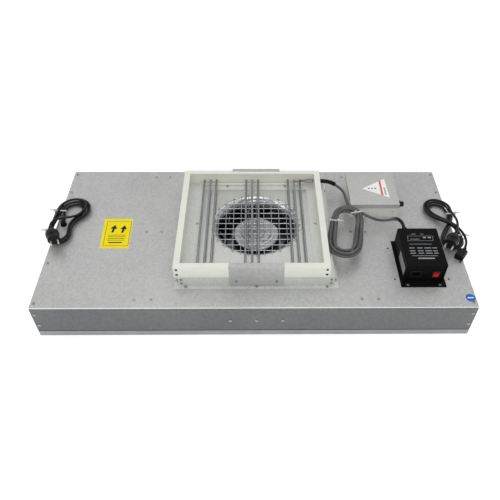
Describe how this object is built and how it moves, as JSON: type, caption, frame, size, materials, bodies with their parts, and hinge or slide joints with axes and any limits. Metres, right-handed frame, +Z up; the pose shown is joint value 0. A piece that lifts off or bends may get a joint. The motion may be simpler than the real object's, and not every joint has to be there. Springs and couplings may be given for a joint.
{
  "type": "fan filter unit",
  "caption": "Flat ceiling fan filter unit: steel casing, pleated filter below, centrifugal fan behind a wire-guarded bell mouth, ioniser frame, supply and leads on top.",
  "frame": {"origin": "bottom centre of the casing, without the leads", "axes": "+X along the long side toward the supply, +Y from front to back, +Z up, against the air flow"},
  "size_m": [1.2437, 0.5784, 0.1895],
  "materials": {
    "galvanised_sheet": "galvanised steel sheet with a faint spangle",
    "galvanised_dark": "galvanised steel sheet, folded",
    "zinc_screws": "zinc-plated steel, bright",
    "aluminium_extrusion": "mill-finish aluminium extrusion",
    "filter_paper": "white glass-fibre filter media",
    "white_enamel": "white powder coat",
    "grey_foam": "closed-cell foam gasket",
    "spun_aluminium": "spun aluminium, bright",
    "wire": "bright drawn wire",
    "impeller_aluminium": "formed aluminium sheet",
    "magnet": "sintered ferrite",
    "ground_steel": "ground steel",
    "lamination": "stacked steel laminations",
    "copper": "enamelled copper wire",
    "cast_aluminium": "die-cast aluminium",
    "white_plastic": "white acetal, machined",
    "black_screws": "black oxide steel",
    "emitter_grey": "grey plastic",
    "steel_rod": "drawn stainless rod",
    "wire_insulation": "wire insulation",
    "black_plastic": "moulded black plastic",
    "circuit_board": "circuit board with solder mask",
    "black_paint": "black powder coat",
    "red_plastic": "translucent red plastic",
    "transformer": "varnished core and winding tape",
    "black_rubber": "moulded black rubber",
    "grey_cable": "grey cable jacket",
    "black_cable": "black cable jacket",
    "tie_nylon": "natural nylon"
  },
  "bodies": {
    "housing": {"top_panel": "galvanised_sheet", "front_wall": "galvanised_dark", "back_wall": "galvanised_dark", "left_wall": "galvanised_dark", "right_wall": "galvanised_dark", "panel_stiffeners": "galvanised_sheet", "casing_screws": "zinc_screws", "casing_rivets": "zinc_screws", "filter_frame": "aluminium_extrusion", "filter_media": "filter_paper", "outlet_guard": "white_enamel", "filter_gasket": "grey_foam", "inlet_box": "galvanised_sheet", "inlet_plate": "galvanised_sheet", "inlet_ring": "spun_aluminium", "inlet_guard": "wire", "stator_core": "lamination", "stator_windings": "copper", "motor_base": "cast_aluminium", "motor_bearings": "ground_steel", "motor_beam": "galvanised_sheet", "motor_screws": "zinc_screws", "bar_front": "white_plastic", "bar_back": "white_plastic", "bar_left": "white_plastic", "bar_right": "white_plastic", "bar_screws": "black_screws", "clamp_plates": "galvanised_sheet", "emitter_bars": "emitter_grey", "ground_rods": "steel_rod", "bus_tube": "white_plastic", "ion_wires": "wire_insulation", "junction_base": "galvanised_sheet", "junction_lid": "galvanised_sheet", "speed_control": "circuit_board", "unit_switch": "black_plastic", "supply_case": "black_paint", "supply_lid": "black_paint", "supply_inlet": "black_plastic", "supply_switch": "black_plastic", "supply_transformer": "transformer", "cable_bushings": "black_rubber", "hv_cable": "grey_cable", "hv_coil": "grey_cable", "left_cable": "black_cable", "left_coil": "black_cable", "left_plug": "black_rubber", "right_cable": "black_cable", "right_hank": "black_cable", "right_plug": "black_rubber", "right_connector": "black_rubber", "cable_ties": "tie_nylon"},
    "fan": {"impeller": "impeller_aluminium", "rotor_can": "spun_aluminium", "rotor_magnets": "magnet", "motor_shaft": "ground_steel", "impeller_screws": "zinc_screws"},
    "knob": {"speed_knob": "black_plastic"},
    "unit_rocker": {"unit_rocker": "black_plastic"},
    "supply_rocker": {"supply_rocker": "red_plastic"}
  },
  "joints": [
    {"name": "fan_spin", "type": "hinge", "parent": "housing", "child": "fan", "pos_m": [0.004, -0.002, 0.09], "axis": [0, 0, 1], "continuous": true},
    {"name": "speed_knob_turn", "type": "hinge", "parent": "housing", "child": "knob", "pos_m": [0.4332, 0.086, 0.15], "axis": [1, 0, 0], "range_deg": [0, 270]},
    {"name": "unit_switch_rock", "type": "hinge", "parent": "housing", "child": "unit_rocker", "pos_m": [0.42979, 0.147, 0.147], "axis": [0, 1, 0], "range_deg": [-16, 0]},
    {"name": "supply_switch_rock", "type": "hinge", "parent": "housing", "child": "supply_rocker", "pos_m": [0.488, -0.191, 0.142], "axis": [1, 0, 0], "range_deg": [-16, 0]}
  ]
}
